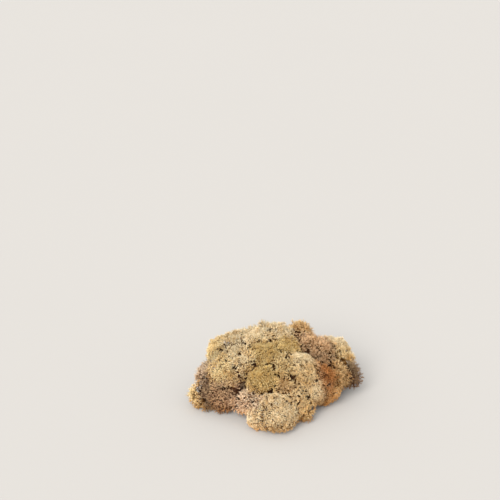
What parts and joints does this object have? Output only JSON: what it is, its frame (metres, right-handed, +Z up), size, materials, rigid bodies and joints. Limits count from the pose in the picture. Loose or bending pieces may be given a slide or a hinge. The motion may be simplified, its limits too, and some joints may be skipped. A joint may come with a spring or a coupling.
{
  "type": "reindeer moss clump",
  "caption": "Low cushion of dried reindeer moss: rounded heads of finely forked branchlets packed on a mound of old stems, lying on a small flat spot.",
  "frame": {"origin": "middle of the clump's length and width, on the surface that it lies on", "axes": "+X along the clump's length, +Y away from the large pale head at the front, +Z up"},
  "size_m": [0.172, 0.1472, 0.0715],
  "materials": {
    "cream": "dry matt lichen, pale cream",
    "straw": "dry matt lichen, straw yellow",
    "peach": "dry matt lichen, warm peach",
    "gold": "dry matt lichen, olive gold",
    "tan": "dry matt lichen, tan brown",
    "rust": "dry matt lichen, rust brown",
    "taupe": "dry matt lichen, grey brown",
    "mauve": "dry matt lichen, pinkish brown",
    "old_stem": "dry matt lichen, dark brown, old stems"
  },
  "bodies": {
    "root": {"old_stems": "old_stem", "top_cream": "cream", "top_right_cream": "cream", "top_middle_gold": "gold", "back_crown": "cream", "upper_left_cream": "cream", "left_crown_cream": "cream", "left_corner_straw": "straw", "left_crease_straw": "straw", "back_right_tan": "tan", "right_shoulder_tan": "taupe", "right_back_straw": "straw", "right_drop_tan": "tan", "right_inner_taupe": "taupe", "right_middle_taupe": "taupe", "right_edge_mauve": "mauve", "right_side_tan": "tan", "right_rust": "rust", "right_foot_tan": "tan", "right_upper_cream": "cream", "right_middle_peach": "peach", "right_lower_cream": "cream", "front_right_peach": "peach", "front_right_foot": "tan", "front_cream": "cream", "front_left_nub": "straw", "front_left_pink": "taupe", "left_hollow_mauve": "mauve", "left_front_mauve": "mauve", "left_lower_mauve": "mauve", "left_tip_straw": "straw", "left_side_pink": "taupe", "left_yellow": "straw", "centre_left_cream": "cream", "centre_olive": "gold", "centre_right_lacy": "straw", "centre_gold": "gold", "centre_low_tan": "tan", "back_left_tan": "tan", "back_middle_straw": "straw", "back_foot_mauve": "mauve", "back_shoulder_straw": "straw", "back_right_taupe": "taupe", "back_corner_tan": "tan", "right_back_foot": "mauve", "left_back_mauve": "mauve", "back_left_foot": "mauve"}
  },
  "joints": []
}
